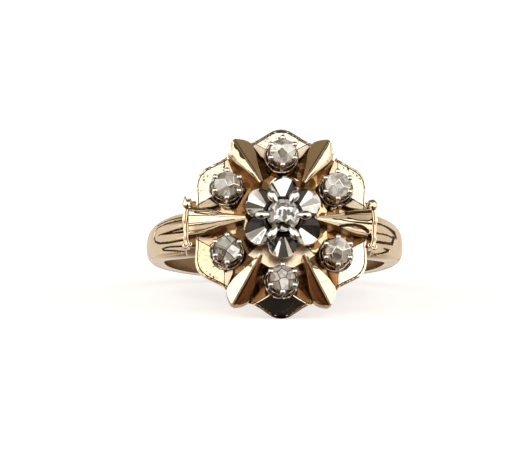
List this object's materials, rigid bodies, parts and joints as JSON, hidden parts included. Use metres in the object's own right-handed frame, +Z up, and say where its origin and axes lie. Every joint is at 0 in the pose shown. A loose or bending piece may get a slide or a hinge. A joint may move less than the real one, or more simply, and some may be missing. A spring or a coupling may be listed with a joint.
{
  "type": "flower cluster ring",
  "caption": "Two-tone gold flower cluster ring with petals and folded rays, a white lobed centre setting, small claw collets with rose-cut stones, and fluted shoulders.",
  "frame": {"origin": "on the table, at the middle of the ring's footprint box", "axes": "the ring lies on its side with the flower towards -Y; +X across the finger, +Y from the flower to the back of the hoop, +Z up; the finger hole's axis leans 16.4 degrees from +Z towards +Y"},
  "size_m": [0.0198, 0.0248, 0.0136],
  "materials": {
    "yellow_gold": "polished yellow gold",
    "white_gold": "bright-cut white gold",
    "collet_gold": "polished gold with white metal claws",
    "diamond": "brilliant-cut",
    "rose_diamond": "rose-cut, greyish"
  },
  "bodies": {
    "root": {"gold_mount": "yellow_gold", "centre_flower": "white_gold", "centre_stone": "diamond", "collet_1": "collet_gold", "collet_2": "collet_gold", "collet_3": "collet_gold", "collet_4": "collet_gold", "collet_5": "collet_gold", "collet_6": "collet_gold", "rose_1": "rose_diamond", "rose_2": "rose_diamond", "rose_3": "rose_diamond", "rose_4": "rose_diamond", "rose_5": "rose_diamond", "rose_6": "rose_diamond"}
  },
  "joints": []
}
